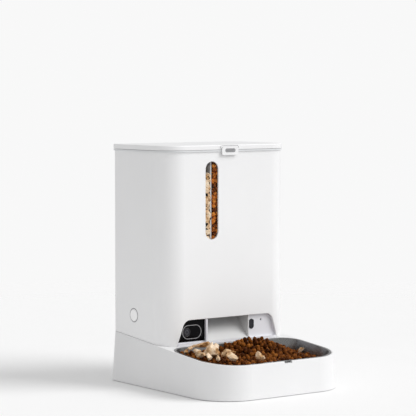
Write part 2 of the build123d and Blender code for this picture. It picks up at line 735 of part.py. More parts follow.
def gear_sheet(teeth, turn):
    """Involute gear outline about the sketch's origin, one tooth centred at the angle given."""
    pitch_r = module * teeth / 2
    base_r = pitch_r * cos(radians(pressure))
    root_r, tip_r = pitch_r - 1.25 * module, pitch_r + module
    start_r = max(base_r, root_r)
    half = pi / (2 * teeth) - gear_play / (2 * pitch_r)

    def involute(radius):
        slope = acos(min(1.0, base_r / radius))
        return tan(slope) - slope

    flank = []
    if base_r > root_r:
        flank.append((root_r, half + involute(pitch_r)))
    for step in range(5):
        radius = start_r + (tip_r - start_r) * step / 4
        flank.append((radius, half + involute(pitch_r) - involute(radius)))
    points = []
    for tooth in range(teeth):
        middle = turn + 2 * pi * tooth / teeth
        for radius, angle in flank:
            points.append((radius * cos(middle - angle), radius * sin(middle - angle)))
        for radius, angle in reversed(flank):
            points.append((radius * cos(middle + angle), radius * sin(middle + angle)))
    return make_face(Polyline(*points, close=True))


def make_gear(start, end):
    """Large gear on the paddle's shaft, with a tooth towards the pinion."""
    sheet = gear_sheet(gear_teeth, 0.0) - Circle(shaft_r + 0.02)
    for index in range(5):
        sheet -= Rot(0, 0, 72 * index + 36) * Pos(9.5, 0) * Circle(3.2)
    return sideways(Pos(rotor_y, rotor_z) * sheet, start, end)


def make_pinion(start, end, tail):
    """Motor pinion with its shaft, with a gap towards the large gear."""
    sheet = gear_sheet(pinion_teeth, pi + pi / pinion_teeth)
    pinion = sideways(Pos(pinion_y, rotor_z) * sheet, start, end)
    low, high = sorted((tail, (start + end) / 2))
    return pinion + rod(1.5, (low, pinion_y, rotor_z), (high, pinion_y, rotor_z))


def make_gear_cover(face, outward):
    """Cup over one gear pair; the motor is screwed to its outer face."""
    far = face + outward * cover_depth
    inner_far = face + outward * (cover_depth - 2)
    cover = block((min(face, far), 22, 119), (max(face, far), 74.5, 161))
    cover = fillet(cover.edges().filter_by(Axis.X), 5)
    near, deep = sorted((face - outward, inner_far))
    room = block((near, 24, 121.5), (deep, 72.5, 158.5))
    cover = cover - fillet(room.edges().filter_by(Axis.X), 4)
    cover -= rod(3.2, (face, pinion_y, rotor_z), (far + outward, pinion_y, rotor_z))
    for y, z in motor_screw_places:
        cover -= rod(1.1, (inner_far - outward, y, z), (far + outward, y, z))
    return cover


def make_motor(face, outward):
    """Round motor with a stepped nose and two tabs at its rear."""
    far = face + outward * motor_l
    can = rod(motor_r, (face, pinion_y, rotor_z), (far, pinion_y, rotor_z))
    can = fillet(can.edges(), 0.8)
    nose = rod(3.0, (face + outward, pinion_y, rotor_z), (face - outward * 1.8, pinion_y, rotor_z))
    motor = can + nose
    motor -= rod(1.55, (face - outward * 3, pinion_y, rotor_z), (face + outward * 9, pinion_y, rotor_z))
    for y, z in motor_screw_places:
        motor -= rod(1.05, (face - outward, y, z), (face + outward * 4, y, z))
    for z in (rotor_z - 6, rotor_z + 6):
        tab = sorted((far - outward, far + outward * 1.2))
        motor += block((tab[0], pinion_y - 1.5, z - 0.4), (tab[1], pinion_y + 1.5, z + 0.4))
    return motor


def make_motor_screws():
    """Two screws in each motor's face, from inside its gear cover."""
    screws = []
    for face, outward in ((housing_x[0], -1), (housing_x[1], 1)):
        inner = face + outward * (cover_depth - 2)
        for y, z in motor_screw_places:
            shank = rod(1.0, (inner - outward * 0.8, y, z), (inner + outward * 5, y, z))
            screws.append(shank + rod(1.9, (inner - outward * 1.2, y, z), (inner, y, z)))
    return screws


# ---- electronics ----------------------------------------------------------------------

def make_main_board():
    board = block((-board_half_w, board_y, board_low), (board_half_w, board_y + board_t, board_high))
    for x in (4 - board_half_w, board_half_w - 4):
        for z in (board_low + 4, board_high - 4):
            board -= rod(1.6, (x, 120, z), (x, 130, z))
    return board


def make_board_parts():
    """Processor, radio can, connectors and a capacitor on the main board's front."""
    parts = [block((-12, board_y - 1.4, 104), (4, board_y, 120)),
             block((12, board_y - 2.4, 108), (34, board_y, 126))]
    for step in range(4):
        x = -40 + 14 * step
        parts.append(block((x, board_y - 6.5, 87), (x + 10, board_y, 93)))
    parts.append(rod(4, (-28, board_y - 11, 128), (-28, board_y, 128)))
    return parts


def make_button_board():
    """Small board on the left wall with the push switch behind the side button."""
    board = block((-104, button_y - 9, button_z - 14), (-102.4, button_y + 9, button_z + 14))
    switch = block((-107.4, button_y - 3, button_z - 3), (-104, button_y + 3, button_z + 3))
    return board + switch + rod(1.7, (-109.2, button_y, button_z), (-107, button_y, button_z))


def make_button():
    """Round cap with a shallow dish and a stem that reaches its switch."""
    cap = rod(button_r, (-115.1, button_y, button_z), (-112.3, button_y, button_z))
    cap = fillet(cap.edges().group_by(Axis.X)[0], 0.9)
    cap += rod(button_r + 2.6, (-110.9, button_y, button_z), (-110.2, button_y, button_z))
    cap += rod(button_r, (-112.5, button_y, button_z), (-110.5, button_y, button_z))
    return cap


def make_button_ring():
    ring = rod(button_r + 1.45, (-114.6, button_y, button_z), (-111.4, button_y, button_z))
    ring -= rod(button_r + 0.35, (-116, button_y, button_z), (-111, button_y, button_z))
    return chamfer(ring.edges().group_by(Axis.X)[0], 0.2)


# ---- all pieces -----------------------------------------------------------------------

save("base_housing", make_base_housing())
save("bottom_plate", make_bottom_plate())
save("plate_screws", *make_plate_screws())
save("body_screws", *make_body_screws())
save("rubber_feet", *make_feet())
save("battery_door", make_battery_door())
save("backup_cells", *make_cells())
save("battery_contacts", *make_contacts())
save("dc_jack", make_dc_jack())
save("bowl", make_bowl())

save("body_shell", make_body_shell())
save("window_pane", make_window_pane())
save("speaker", make_speaker())
save("tank", make_tank())
save("tank_divider", make_divider())

save("lid", make_lid())
save("lid_liner", make_liner())
save("lid_seal", make_seal())
save("hinge_pins", *make_hinge_pins())
save("lid_latch", make_latch())
save("latch_insert", make_latch_insert())
save("latch_pin", make_latch_pin())
save("desiccant_box", make_cartridge())
save("desiccant_grille", make_grille())

save("fascia", make_fascia())
save("camera_panel", make_camera_panel())
save("camera_ring", make_camera_ring())
save("camera_lens", make_camera_lens())
save("camera_module", make_camera_module())
save("sensor_lens", make_sensor_lens())
save("microphone", make_microphone())
save("chute", make_chute())

save("feed_housing", make_feed_housing())
save("shaft_bushes", *make_bushes())
save("left_paddle", make_paddle(left_chamber, left_vanes))
save("right_paddle", make_paddle(right_chamber, right_vanes))
save("left_shaft", make_shaft(left_face - 9.6, left_chamber[1] + 4.2))
save("right_shaft", make_shaft(right_chamber[0] - 4.2, right_face + 9.6))
save("left_gear", make_gear(left_face - 8.6, left_face - 2.6))
save("right_gear", make_gear(right_face + 2.6, right_face + 8.6))
save("left_pinion", make_pinion(left_face - 8.0, left_face - 1.6, left_out - 8))
save("right_pinion", make_pinion(right_face + 1.6, right_face + 8.0, right_out + 8))
save("left_gear_cover", make_gear_cover(left_face, -1))
save("right_gear_cover", make_gear_cover(right_face, 1))
save("left_motor", make_motor(left_out, -1))
save("right_motor", make_motor(right_out, 1))
save("motor_screws", *make_motor_screws())

save("main_board", make_main_board())
save("board_parts", *make_board_parts())
save("button_board", make_button_board())
save("side_button", make_button())
save("button_ring", make_button_ring())
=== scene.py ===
import json
import math
import random

import bmesh
import bpy
import numpy as np
from mathutils import Matrix, Vector, noise


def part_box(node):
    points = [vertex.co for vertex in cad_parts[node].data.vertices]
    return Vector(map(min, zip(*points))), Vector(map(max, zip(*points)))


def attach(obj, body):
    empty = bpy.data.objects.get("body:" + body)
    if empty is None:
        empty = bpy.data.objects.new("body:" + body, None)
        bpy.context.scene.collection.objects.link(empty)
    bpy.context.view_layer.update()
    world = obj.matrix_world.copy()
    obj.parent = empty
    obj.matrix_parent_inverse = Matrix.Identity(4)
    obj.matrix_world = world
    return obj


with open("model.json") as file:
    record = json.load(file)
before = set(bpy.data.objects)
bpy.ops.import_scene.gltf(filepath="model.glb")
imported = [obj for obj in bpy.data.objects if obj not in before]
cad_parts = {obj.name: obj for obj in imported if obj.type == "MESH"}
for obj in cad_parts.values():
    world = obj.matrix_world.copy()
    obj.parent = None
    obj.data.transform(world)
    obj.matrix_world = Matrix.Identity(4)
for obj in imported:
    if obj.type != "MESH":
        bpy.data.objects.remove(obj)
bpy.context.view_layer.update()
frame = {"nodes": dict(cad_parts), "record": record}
nodes = frame["nodes"]

MM = 0.001
SHAPES = 9                        # different pellets that the kibble is made of
BED_THICKNESS = 3                 # of the surface under loose food, in millimetres


# ---- materials ------------------------------------------------------------------------

class Recipe:
    """A node material under construction: a Principled shader and helpers to feed it."""

    def __init__(self, name):
        self.material = bpy.data.materials.new(name)
        self.material.use_nodes = True
        self.tree = self.material.node_tree
        self.shader = self.tree.nodes["Principled BSDF"]
        self.place = self.tree.nodes.new("ShaderNodeTexCoord").outputs["Object"]

    def set(self, **values):
        for name, value in values.items():
            self.shader.inputs[name.replace("_", " ")].default_value = value

    def stretch(self, scale):
        """Object coordinates scaled by a vector, for grain that runs one way."""
        node = self.tree.nodes.new("ShaderNodeMapping")
        node.inputs["Scale"].default_value = scale
        self.tree.links.new(self.place, node.inputs["Vector"])
        return node.outputs["Vector"]

    def noise(self, scale, detail=3.0, roughness=0.5, place=None):
        node = self.tree.nodes.new("ShaderNodeTexNoise")
        node.inputs["Scale"].default_value = scale
        node.inputs["Detail"].default_value = detail
        node.inputs["Roughness"].default_value = roughness
        self.tree.links.new(place or self.place, node.inputs["Vector"])
        return node.outputs["Fac"]

    def island(self):
        """A value of its own for each loose form in a piece."""
        return self.tree.nodes.new("ShaderNodeNewGeometry").outputs["Random Per Island"]

    def cells(self, scale):
        node = self.tree.nodes.new("ShaderNodeTexVoronoi")
        node.inputs["Scale"].default_value = scale
        self.tree.links.new(self.place, node.inputs["Vector"])
        return node.outputs["Distance"]

    def spread(self, source, low, high, start=0.3, end=0.7):
        """Maps a 0..1 pattern to a range of values."""
        node = self.tree.nodes.new("ShaderNodeMapRange")
        self.tree.links.new(source, node.inputs["Value"])
        node.inputs["From Min"].default_value = start
        node.inputs["From Max"].default_value = end
        node.inputs["To Min"].default_value = low
        node.inputs["To Max"].default_value = high
        return node.outputs["Result"]

    def ramp(self, source, stops):
        """Colours along a 0..1 pattern, each stop being (place, colour)."""
        node = self.tree.nodes.new("ShaderNodeValToRGB")
        band = node.color_ramp
        while len(band.elements) < len(stops):
            band.elements.new(0.5)
        for element, (place, colour) in zip(band.elements, stops):
            element.position = place
            element.color = (*colour, 1.0)
        self.tree.links.new(source, node.inputs["Fac"])
        return node.outputs["Color"]

    def add(self, first, second, weight):
        """first + weight x second, kept within 0..1."""
        node = self.tree.nodes.new("ShaderNodeMath")
        node.operation = "MULTIPLY_ADD"
        node.use_clamp = True
        node.inputs[1].default_value = weight
        self.tree.links.new(second, node.inputs[0])
        self.tree.links.new(first, node.inputs[2])
        return node.outputs["Value"]

    def colour(self, source):
        self.tree.links.new(source, self.shader.inputs["Base Color"])

    def rough(self, source):
        self.tree.links.new(source, self.shader.inputs["Roughness"])

    def bump(self, source, strength, depth):
        node = self.tree.nodes.new("ShaderNodeBump")
        node.inputs["Strength"].default_value = strength
        node.inputs["Distance"].default_value = depth
        self.tree.links.new(source, node.inputs["Height"])
        self.tree.links.new(node.outputs["Normal"], self.shader.inputs["Normal"])


def shade(colour, amount):
    return tuple(max(0.0, min(1.0, c * amount)) for c in colour)


def moulded(name, colour, rough, grain=1400.0, strength=0.12, mottle=0.03):
    """Injection-moulded plastic: fine spark-eroded grain and faint flow marks."""
    r = Recipe(name)
    flow = r.noise(14.0, 2.0)
    r.colour(r.ramp(flow, [(0.3, shade(colour, 1 - mottle)), (0.7, shade(colour, 1 + mottle))]))
    r.rough(r.spread(r.noise(60.0, 3.0), rough - 0.04, rough + 0.05))
    r.bump(r.noise(grain, 2.0), strength, 0.00004)
    return r.material


def glossy(name, colour, rough, sheen=0.12):
    """Polished plastic, with a slight ripple and faint dust in its roughness."""
    r = Recipe(name)
    r.colour(r.ramp(r.noise(30.0), [(0.3, shade(colour, 0.9)), (0.7, shade(colour, 1.15))]))
    r.rough(r.spread(r.noise(420.0, 4.0), rough, rough + 0.05))
    r.bump(r.noise(45.0, 1.0), 0.05, 0.0002)
    r.set(Specular_IOR_Level=sheen)
    return r.material


def metal(name, colour, rough, grain=(6.0, 900.0, 900.0), strength=0.1):
    """Metal whose fine scratches run along one axis."""
    r = Recipe(name)
    lines = r.noise(1.0, 4.0, 0.7, r.stretch(grain))
    cloud = r.noise(22.0, 3.0)
    r.colour(r.ramp(r.add(cloud, lines, 0.3), [(0.35, shade(colour, 0.86)), (0.95, shade(colour, 1.1))]))
    r.rough(r.spread(lines, rough - 0.06, rough + 0.08))
    r.bump(lines, strength, 0.00003)
    r.set(Metallic=1.0)
    return r.material


def rubbery(name, colour, rough):
    r = Recipe(name)
    r.colour(r.ramp(r.noise(160.0), [(0.3, shade(colour, 0.85)), (0.7, shade(colour, 1.15))]))
    r.rough(r.spread(r.noise(300.0), rough - 0.05, rough + 0.05))
    r.bump(r.noise(1800.0, 3.0), 0.3, 0.00006)
    return r.material


def clear(name):
    """Clear window plastic: mostly see-through, with a polished face."""
    r = Recipe(name)
    r.colour(r.ramp(r.noise(20.0), [(0.3, (0.02, 0.022, 0.024)), (0.7, (0.03, 0.032, 0.034))]))
    r.rough(r.spread(r.noise(90.0, 2.0), 0.03, 0.08))
    r.set(Alpha=0.06, IOR=1.49)
    return r.material


def lens_glass(name):
    r = Recipe(name)
    r.colour(r.ramp(r.noise(90.0), [(0.3, (0.005, 0.005, 0.010)), (0.7, (0.012, 0.009, 0.020))]))
    r.rough(r.spread(r.noise(200.0), 0.02, 0.05))
    r.set(Specular_IOR_Level=0.4)
    return r.material


def circuit(name):
    """Solder mask with faint tracks under it."""
    r = Recipe(name)
    tracks = r.noise(1.0, 1.0, 0.2, r.stretch((700.0, 700.0, 90.0)))
    r.colour(r.ramp(tracks, [(0.46, (0.012, 0.085, 0.035)), (0.54, (0.025, 0.16, 0.06))]))
    r.rough(r.spread(r.noise(200.0), 0.3, 0.42))
    r.bump(tracks, 0.3, 0.00004)
    return r.material


def kibble_food(name, lift=1.0):
    """Baked pellets: each one its own brown, porous and dull."""
    r = Recipe(name)
    island = r.island()
    mix = r.add(r.spread(r.noise(420.0, 5.0, 0.65), -0.25, 0.45), island, 0.55)
    # lift scales the colours: above 1 it is painted light, below 1 painted shade
    r.colour(r.ramp(mix, [(0.0, shade((0.028, 0.006, 0.001), lift)),
                          (0.35, shade((0.115, 0.031, 0.004), lift)),
                          (0.7, shade((0.300, 0.100, 0.015), lift)),
                          (1.0, shade((0.500, 0.215, 0.045), lift))]))
    r.rough(r.spread(r.noise(500.0), 0.5, 0.75))
    r.set(Specular_IOR_Level=0.06)
    r.bump(r.add(r.noise(900.0, 4.0, 0.6), r.cells(700.0), 0.35), 0.55, 0.0005)
    return r.material


def dried_food(name, lift=1.0):
    """Freeze-dried meat: pale, fibrous, toasted on its high spots."""
    r = Recipe(name)
    island = r.island()
    fibres = r.noise(1.0, 5.0, 0.65, r.stretch((260.0, 700.0, 420.0)))
    toast = r.noise(70.0, 3.0)
    mix = r.add(r.spread(r.add(toast, fibres, 0.5), -0.15, 0.8, 0.5, 1.0), island, 0.3)
    # lift scales the colours: above 1 it is painted light, below 1 painted shade
    r.colour(r.ramp(mix, [(0.0, shade((0.980, 0.850, 0.700), lift)),
                          (0.4, shade((0.880, 0.670, 0.460), lift)),
                          (0.75, shade((0.520, 0.290, 0.120), lift)),
                          (1.0, (0.230, 0.095, 0.030))]))
    r.set(Specular_IOR_Level=0.2)
    r.rough(r.spread(fibres, 0.75, 0.95))
    r.bump(r.add(fibres, r.cells(420.0), 0.3), 0.8, 0.0009)
    return r.material


WHITE = (0.86, 0.86, 0.865)

MADE = {
    # the base's white is the body's white painted darker, as painted shade that offsets the extra light
    # its tilted faces catch
    "white_base": lambda: moulded("base_white", shade(WHITE, 0.912), 0.46, 1400.0, 0.12, 0.012),
    "white_body": lambda: moulded("body_white", shade(WHITE, 1.0), 0.38, 1600.0, 0.06, 0.008),
    "white_lid": lambda: moulded("lid_white", shade(WHITE, 1.0), 0.36, 1600.0, 0.06, 0.008),
    "white_panel": lambda: moulded("panel_white", (0.82, 0.82, 0.86), 0.34, 1600.0, 0.06, 0.01),
    "white_button": lambda: moulded("button_white", (0.97, 0.97, 0.97), 0.3, 1600.0, 0.06, 0.008),
    "chute_white": lambda: moulded("chute_white", (0.68, 0.68, 0.68), 0.5, 1200.0, 0.15, 0.02),
    "tank_plastic": lambda: moulded("tank_plastic", (0.74, 0.75, 0.76), 0.42, 1100.0, 0.1, 0.03),
    "clear_plastic": lambda: clear("window_clear"),
    # the bowl's steel is painted much darker than bright steel, as painted shade and painted dark
    # reflections inside the bowl's hollow
    "bowl_steel": lambda: metal("bowl_steel", (0.25, 0.25, 0.25), 0.27),
    "bright_steel": lambda: metal("bright_steel", (0.60, 0.60, 0.61), 0.28, (900.0, 900.0, 30.0)),
    "black_gloss": lambda: glossy("panel_black", (0.003, 0.003, 0.0035), 0.05, 0.06),
    "ring_grey": lambda: moulded("ring_grey", (0.34, 0.34, 0.35), 0.3, 1500.0, 0.05, 0.05),
    "lens_glass": lambda: lens_glass("lens_glass"),
    "sensor_dark": lambda: glossy("sensor_dark", (0.030, 0.030, 0.036), 0.12),
    "dark_rubber": lambda: rubbery("dark_rubber", (0.045, 0.045, 0.048), 0.7),
    "seal_silicone": lambda: rubbery("seal_silicone", (0.62, 0.63, 0.64), 0.5),
    "paddle_silicone": lambda: rubbery("paddle_silicone", (0.34, 0.40, 0.43), 0.55),
    "gear_acetal": lambda: moulded("gear_acetal", (0.76, 0.74, 0.66), 0.4, 900.0, 0.08, 0.03),
    "mech_plastic": lambda: moulded("mech_plastic", (0.055, 0.058, 0.065), 0.5, 900.0, 0.2, 0.1),
    "bush_brass": lambda: metal("bush_brass", (0.62, 0.42, 0.16), 0.35, (900.0, 60.0, 60.0)),
    "motor_steel": lambda: metal("motor_steel", (0.52, 0.53, 0.54), 0.33, (40.0, 900.0, 900.0)),
    "board_green": lambda: circuit("board_green"),
    "chip_black": lambda: moulded("chip_black", (0.022, 0.022, 0.025), 0.45, 1800.0, 0.25, 0.15),
    "cell_wrap": lambda: glossy("cell_sleeve", (0.030, 0.034, 0.042), 0.22),
    "contact_metal": lambda: metal("contact_metal", (0.66, 0.64, 0.58), 0.25),
}


def dress_nodes():
    """Every CAD node gets the detailed material of its slot."""
    made = {name: make() for name, make in MADE.items()}
    slots = {row["node"]: row["material_slot"] for row in frame["record"]["subparts"]}
    for name, obj in nodes.items():
        for place in obj.material_slots:
            place.material = made[slots[name]]
        if not obj.material_slots:
            obj.data.materials.append(made[slots[name]])
    return made


# ---- mesh helpers ---------------------------------------------------------------------

def new_piece(name, verts, faces, material, body):
    """A smooth-shaded mesh, in metres, that moves with a body."""
    mesh = bpy.data.meshes.new(name)
    mesh.from_pydata([tuple(v) for v in verts], [], [tuple(f) for f in faces])
    mesh.validate()
    mesh.polygons.foreach_set("use_smooth", [True] * len(mesh.polygons))
    mesh.materials.append(material)
    piece = bpy.data.objects.new(name, mesh)
    bpy.context.scene.collection.objects.link(piece)
    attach(piece, body)
    return piece


def ball(subdivisions):
    """Points and triangles of a unit ball."""
    form = bmesh.new()
    bmesh.ops.create_icosphere(form, subdivisions=subdivisions, radius=1.0)
    points = np.array([v.co[:] for v in form.verts])
    faces = np.array([[v.index for v in f.verts] for f in form.faces])
    form.free()
    return points, faces


def ripple(points, scale, amount, seed):
    """Pushes points in and out along themselves by smooth noise."""
    shift = Vector((seed * 7.3, seed * 3.1, seed * 5.7))
    lift = [noise.noise(Vector(p) * scale + shift) for p in points]
    return points * (1 + amount * np.array(lift))[:, None]


def pellet_form(seed, subdivisions=2):
    """One kibble: a lumpy, slightly flattened nugget about 1 across its radius."""
    points, faces = ball(subdivisions)
    points = ripple(points, 1.4, 0.34, seed)
    points = ripple(points, 4.0, 0.12, seed + 40)
    return points * np.array([0.86, 0.8, 1.12]), faces


def chunk_form(rng, size, subdivisions=4):
    """One freeze-dried piece: a block torn along a few planes, with a crumbly skin."""
    points, faces = ball(subdivisions)
    points = ripple(points * 1.15, 1.1, 0.55, rng.random() * 50)
    for _ in range(11):
        normal = Vector((rng.uniform(-1, 1), rng.uniform(-1, 1), rng.uniform(-1, 1))).normalized()
        normal = np.array(normal)
        over = np.maximum(0.0, points @ normal - rng.uniform(0.35, 0.7))
        points = points - 0.97 * over[:, None] * normal
    points = ripple(points, 3.6, 0.2, rng.random() * 50)
    points = ripple(points, 11.0, 0.1, rng.random() * 50)
    return points * np.array(size) / 2, faces


def turned(rng, tilt=math.pi):
    """A random rotation, tipped from upright by at most tilt."""
    axis = Vector((rng.uniform(-1, 1), rng.uniform(-1, 1), 0.001)).normalized()
    return np.array(Matrix.Rotation(rng.uniform(-tilt, tilt), 3, axis)
                    @ Matrix.Rotation(rng.uniform(0, 2 * math.pi), 3, "Z"))


def gathered(name, forms, material, body):
    """Many small forms joined in one piece. forms holds (points, faces) in millimetres."""
    verts, faces, count = [], [], 0
    for points, triangles in forms:
        verts.append(points)
        faces.append(triangles + count)
        count += len(points)
    return new_piece(name, np.vstack(verts) * MM, np.vstack(faces), material, body)


def bed(name, verts, columns, material, body):
    """Food's uneven surface as a thin solid. verts holds rows of columns + 1 points."""
    across = columns + 1
    faces = [(a, a + 1, a + across + 1, a + across)
             for row in range(len(verts) // across - 1)
             for a in range(row * across, row * across + columns)]
    piece = new_piece(name, np.array(verts) * MM, faces, material, body)
    solid = piece.modifiers.new("solid", "SOLIDIFY")
    solid.thickness = BED_THICKNESS * MM
    solid.offset = -1
    return piece


# ---- food in the bowl -----------------------------------------------------------------

bowl_low, bowl_high = (np.array(corner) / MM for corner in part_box("bowl"))

rim_slope = 0.093                 # the base's top falls this much per mm towards the front
bowl_lip = 3.4                    # width of the bowl's flat lip
rim_front_z = bowl_high[2] - rim_slope * (bowl_high[1] - bowl_low[1])
bowl_mid = (bowl_low + bowl_high) / 2
mouth_half = (bowl_high[:2] - bowl_low[:2]) / 2 - bowl_lip
front_corner, back_corner = 49.1, 26.6    # radii of the mouth's corners
wall_slope = 0.25                 # the bowl's walls lean in this much per mm of depth


def rim_height(y):
    return rim_front_z + rim_slope * (y - bowl_low[1])


def wall_gap(x, y, depth):
    """Distance inwards from the bowl's wall at a depth below its rim; negative is outside."""
    half = mouth_half - wall_slope * depth
    corner = (front_corner if y < bowl_mid[1] else back_corner) - wall_slope * depth
    over = np.abs(np.array([x, y]) - bowl_mid[:2]) - (half - corner)
    outside = math.hypot(max(over[0], 0), max(over[1], 0)) + min(max(over[0], over[1]), 0)
    return corner - outside


def heap(x, y):
    """Height of the food above or below the rim's plane: a base level and four swellings."""
    base_level = -8.5
    mound = 12.5 * math.exp(-((x - 24) / 52) ** 4 - ((y - bowl_high[1] + 18) / 46) ** 2)
    front = 6.5 * math.exp(-((y - bowl_low[1] - 4) / 36) ** 2)
    left = 4.0 * math.exp(-((x + 78) / 36) ** 2 - ((y - bowl_high[1] + 62) / 40) ** 2)
    right = -7.5 / (1 + math.exp(-(x - 74) / 7))
    swell = 1.6 * noise.noise(Vector((x * 0.035, y * 0.035, 4.2)))
    return base_level + mound + front + left + right + swell


def bowl_kibble(material):
    """Loose layers of pellets that follow the heap, none through the steel."""
    rng = random.Random(11)
    shapes = [pellet_form(seed) for seed in range(SHAPES)]
    forms = []
    layers, step, row_step, layer_drop, wander = 2, 7.7, 7.7 * 0.87, 5.0, 1.5
    for layer in range(layers):
        y = bowl_low[1] + 3 + 2.6 * layer
        row = 0
        while y < bowl_high[1]:
            x = bowl_low[0] + (row % 2) * step / 2 + 2.1 * layer
            while x < bowl_high[0]:
                px, py = x + rng.uniform(-wander, wander), y + rng.uniform(-wander, wander)
                x += step
                radius = rng.uniform(2.9, 4.0)
                level = heap(px, py) - layer_drop * layer + rng.uniform(-3.0, 1.8)
                if wall_gap(px, py, max(0.0, -level)) < radius + 0.6:
                    continue
                points, faces = shapes[rng.randrange(len(shapes))]
                turn = turned(rng, 0.9)
                centre = np.array([px, py, rim_height(py) + level])
                forms.append((points * radius @ turn.T + centre, faces))
            y += row_step
            row += 1
    return gathered("bowl_kibble", forms, material, "bowl_body")


def bowl_bed(material):
    """Food below the loose pellets, so that no steel shows between them; its colour is painted dark as
    the shade between the pellets.
    """
    wall_room, below_heap, edge_drop = 9, 8.5, 9.0
    columns, rows = 64, 40
    verts = []
    for j in range(rows + 1):
        for i in range(columns + 1):
            u, v = 2 * i / columns - 1, 2 * j / rows - 1
            # squeeze the grid into the bowl's rounded outline
            edge = max(abs(u), abs(v))
            length = math.hypot(u, v)
            round_u, round_v = (u * edge / length, v * edge / length) if length else (0, 0)
            mix = 0.35 * edge
            x = bowl_mid[0] + (u * (1 - mix) + round_u * mix) * (mouth_half[0] - wall_room)
            y = bowl_mid[1] + (v * (1 - mix) + round_v * mix) * (mouth_half[1] - wall_room)
            level = heap(x, y) - below_heap - edge_drop * max(0.0, edge - 0.8)
            verts.append((x, y, rim_height(y) + level + 1.2 * noise.noise(Vector((x, y, 0)) * 0.3)))
    return bed("bowl_food_bed", verts, columns, material, "bowl_body")


# freeze-dried pieces in the bowl: centre x, centre y, height over the rim's plane, size, turn
BOWL_CHUNKS = [
    (-104.0, -36, 2.5, (11, 9, 9), 30), (-88, -27, 4.0, (24, 10, 8), 35),
    (-69, -33, 8.0, (28, 14, 11), -30), (-72, -52, 7.5, (30, 24, 22), 60),
    (-57, -44, 6.0, (18, 17, 20), 10), (-90, -47, 3.0, (18, 12, 11), 80),
    (-98, -64, 3.0, (22, 14, 12), 120), (-95, -80, 2.5, (17, 13, 10), 60),
    (-90, -94, 3.0, (13, 11, 9), 20), (-75, -92, 8.0, (22, 17, 12), 150),
    (-72, -106, 5.5, (28, 20, 18), 110), (-33, -114, 5.5, (17, 13, 24), 20),
    (68, -84, 0.5, (15, 13, 10), 35),
]


def bowl_chunks(material):
    rng = random.Random(5)
    forms = []
    for x, y, lift, size, angle in BOWL_CHUNKS:
        points, faces = chunk_form(rng, size)
        spin = Matrix.Rotation(math.radians(angle), 3, "Z")
        tip = Matrix.Rotation(rng.uniform(-0.2, 0.2), 3, "X")
        centre = np.array([x, y, rim_height(y) + lift])
        forms.append((points @ np.array(tip @ spin).T + centre, faces))
    return gathered("bowl_chunks", forms, material, "bowl_body")


# ---- food behind the window -----------------------------------------------------------

pane_low, pane_high = (np.array(corner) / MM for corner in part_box("window_pane"))
divider_low, divider_high = (np.array(corner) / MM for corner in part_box("tank_divider"))


def tank_kibble(material):
    """Pellets packed against the pane, right of the divider."""
    rng = random.Random(23)
    shapes = [pellet_form(seed) for seed in range(SHAPES)]
    forms = []
    layers, step, row_step, layer_step = 4, 6.6, 5.9, 5.6
    left, right = divider_high[0] + 4.6, pane_high[0] + 8
    for layer in range(layers):
        depth = pane_high[1] + 3.8 + layer_step * layer
        z = pane_low[2] - 6
        row = 0
        while z < pane_high[2] - 4:
            x = left + (row % 2) * 3.2
            while x < right:
                radius = rng.uniform(3.4, 4.4)
                centre = np.array([x + rng.uniform(-1.2, 1.2), depth + rng.uniform(-0.6, 1.4),
                                   z + rng.uniform(-1.2, 1.2)])
                centre[0] = max(centre[0], divider_high[0] + radius + 0.3)
                centre[1] = max(centre[1], pane_high[1] + radius)
                x += step
                points, faces = shapes[rng.randrange(len(shapes))]
                forms.append((points * radius @ turned(rng).T + centre, faces))
            z += row_step
            row += 1
    return gathered("tank_kibble", forms, material, "housing")


def tank_chunks(material):
    """Freeze-dried pieces stacked against the pane, left of the divider."""
    rng = random.Random(31)
    forms = []
    side, face = divider_low[0] - 0.2, pane_high[1] + 0.2
    for layer in range(3):
        z = pane_low[2] - 6 + 5 * layer
        while z < pane_high[2] - 30:
            height = rng.uniform(10, 16)
            for column in range(2):
                points, faces = chunk_form(rng, (26, 24, height * 1.6), 4)
                centre = np.array([side - 7 - 15 * column + rng.uniform(-1, 1),
                                   face + 5 + 9 * layer + rng.uniform(-1, 1), z + height / 2])
                spin = Matrix.Rotation(rng.uniform(-0.15, 0.15), 3, "Y")
                points = points @ np.array(spin).T + centre
                points[:, 0] = np.minimum(points[:, 0], side)
                # the tank's wall stands proud of the pane's back outside the window
                wall = np.where(points[:, 0] < pane_low[0] + 3, divider_low[1] + 0.2, face)
                points[:, 1] = np.maximum(points[:, 1], wall)
                forms.append((points, faces))
            z += height * 0.68
    return gathered("tank_chunks", forms, material, "housing")


tank_low, tank_high = (np.array(corner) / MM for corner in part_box("tank"))
flange_w = 7.2                    # from the tank's flange inwards to its inner wall
inside_low = np.array([tank_low[0] + flange_w, divider_low[1]])
inside_high = np.array([tank_high[0] - flange_w, divider_high[1]])
tank_corner = 28.7                # radius of the tank's inner front corners


def tank_gap(x, y):
    """Distance inwards from the tank's wall; negative is outside."""
    side, front = min(x - inside_low[0], inside_high[0] - x), y - inside_low[1]
    if side < tank_corner and front < tank_corner:
        return tank_corner - math.hypot(tank_corner - side, tank_corner - front)
    return min(side, front, inside_high[1] - y)


def fill(x, y):
    """Height of the food in the tank, highest behind the window."""
    near = math.exp(-((x - divider_low[0]) / 46) ** 2 - ((y - inside_low[1]) / 34) ** 2)
    swell = 2.5 * noise.noise(Vector((x * 0.03, y * 0.03, 7.7)))
    return (303 + 15 * near if x > divider_low[0] else 296 + 9 * near) + swell


